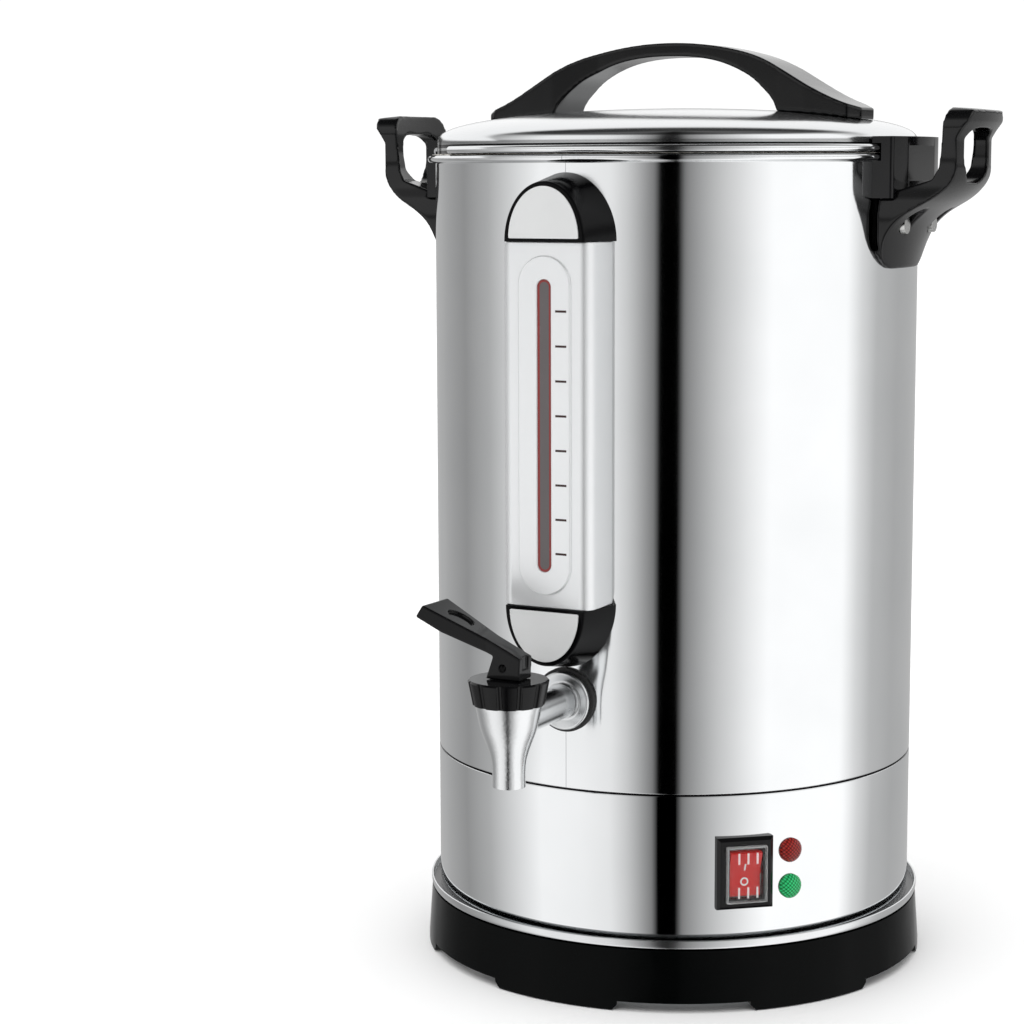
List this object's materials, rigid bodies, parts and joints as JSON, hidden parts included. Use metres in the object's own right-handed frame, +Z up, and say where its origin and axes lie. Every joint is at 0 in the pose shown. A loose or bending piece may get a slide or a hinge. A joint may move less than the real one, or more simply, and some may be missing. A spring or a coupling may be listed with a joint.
{
  "type": "coffee urn",
  "caption": "Steel percolator urn with a domed lid that twists on, side handles, a fluted swivel tap with a thumb lever, a sight gauge, a covered rocker switch and two lamps.",
  "frame": {"origin": "on the tank's axis, at the level of the rubber foot pads' undersides", "axes": "+Z up along the tank's axis, -Y towards the tap and the sight gauge, +X to the right seen from the front, through the right side handle"},
  "size_m": [0.3052, 0.3021, 0.429],
  "materials": {
    "polished_steel": "polished to a soft satin, with clear reflections",
    "black_plastic": "fine satin grain",
    "bracket_black": "smooth, half gloss",
    "rubber_black": "matt",
    "base_plate_grey": "zinc grey",
    "steel_fixings": "plain steel",
    "aluminium_plate": "cast, matt",
    "element_steel": "dark oxidised steel",
    "control_brown": "moulded phenolic",
    "wire_white": "glass-braid sleeving",
    "switch_black": "half gloss",
    "rocker_red": "half gloss",
    "clear_cover": "clear soft cover",
    "terminal_brass": "plain brass",
    "lamp_red": "clear red lens",
    "lamp_green": "clear green lens",
    "tap_chrome": "bright",
    "silicone": "translucent silicone",
    "spring_steel": "plain wire",
    "silver_cover": "satin",
    "badge_grey": "satin light grey",
    "gauge_glass": "clear",
    "fitting_grey": "moulded",
    "percolator_aluminium": "spun, satin"
  },
  "bodies": {
    "urn": {"base_foot_ring": "black_plastic", "base_skirt": "polished_steel", "bottom_plate": "base_plate_grey", "bottom_screws": "steel_fixings", "bracket_left": "bracket_black", "bracket_right": "bracket_black", "clamp_nuts": "steel_fixings", "element_clamp": "steel_fixings", "foot_pads": "rubber_black", "gauge_badge_bottom": "badge_grey", "gauge_badge_top": "badge_grey", "gauge_bottom_cap": "black_plastic", "gauge_bottom_fitting": "fitting_grey", "gauge_housing": "silver_cover", "gauge_nuts": "steel_fixings", "gauge_seals": "silicone", "gauge_top_cap": "black_plastic", "gauge_top_fitting": "fitting_grey", "gauge_tube": "gauge_glass", "handle_left": "black_plastic", "handle_right": "black_plastic", "handle_screws_left": "steel_fixings", "handle_screws_right": "steel_fixings", "heating_element": "element_steel", "heating_plate": "aluminium_plate", "inlet_housing": "switch_black", "inlet_pins": "terminal_brass", "inlet_screws": "steel_fixings", "lamp_green": "lamp_green", "lamp_holders": "control_brown", "lamp_red": "lamp_red", "skirt_trim_ring": "polished_steel", "switch_bezel": "switch_black", "switch_blades": "terminal_brass", "switch_cover": "clear_cover", "tank": "polished_steel", "tap_body": "tap_chrome", "tap_bonnet": "black_plastic", "tap_flange": "tap_chrome", "tap_gaskets": "rubber_black", "tap_nut": "steel_fixings", "tap_spring": "spring_steel", "thermal_cutoff": "control_brown", "thermostat": "control_brown", "warm_element": "element_steel", "wiring": "wire_white"},
    "lid_seal": {"lid_gasket": "silicone"},
    "lid": {"lid_shell": "polished_steel", "lid_handle": "black_plastic", "lid_handle_screws": "steel_fixings"},
    "stem": {"stem_tube": "percolator_aluminium", "spreader_disc": "percolator_aluminium", "foot_cup": "percolator_aluminium", "stem_spring": "spring_steel"},
    "basket": {"basket": "percolator_aluminium"},
    "valve": {"tap_seat_cup": "silicone"},
    "swivel": {"tap_stem": "steel_fixings", "lever_pin": "steel_fixings"},
    "lever": {"tap_lever": "black_plastic"},
    "rocker": {"rocker": "rocker_red"}
  },
  "joints": [
    {"name": "lid_lift", "type": "slide", "parent": "urn", "child": "lid_seal", "axis": [0, 0, 1], "range_m": [0, 0.56]},
    {"name": "lid_turn", "type": "hinge", "parent": "lid_seal", "child": "lid", "pos_m": [0, 0, 0.38], "axis": [0, 0, -1], "range_deg": [0, 25]},
    {"name": "percolator_lift", "type": "slide", "parent": "urn", "child": "stem", "axis": [0, 0, 1], "range_m": [0, 0.2915]},
    {"name": "basket_slide", "type": "slide", "parent": "stem", "child": "basket", "axis": [0, 0, 1], "range_m": [0, 0.005], "stiffness_N_per_m": 300, "springref_m": -0.01, "deforming": ["stem_spring"]},
    {"name": "valve_lift", "type": "slide", "parent": "urn", "child": "valve", "axis": [0, 0, 1], "range_m": [0, 0.004], "deforming": ["tap_spring"]},
    {"name": "lever_swivel", "type": "hinge", "parent": "valve", "child": "swivel", "pos_m": [0, -0.166, 0.15], "axis": [0, 0, 1], "range_deg": [-30, 210]},
    {"name": "lever_tilt", "type": "hinge", "parent": "swivel", "child": "lever", "pos_m": [0, -0.166, 0.1625], "axis": [0, -1, 0], "range_deg": [0, 25], "stiffness_Nm_per_rad": 0.12, "springref_deg": -11.46},
    {"name": "rocker_tilt", "type": "hinge", "parent": "urn", "child": "rocker", "pos_m": [0.07381, -0.0849, 0.0625], "axis": [-0.7547, -0.6561, 0], "range_deg": [0, 20]}
  ],
  "couplings": [
    {"joint": "percolator_lift", "follows": "lid_lift", "ratio": 0.52},
    {"joint": "lever_tilt", "follows": "valve_lift", "rad_per_m": 109.08}
  ]
}
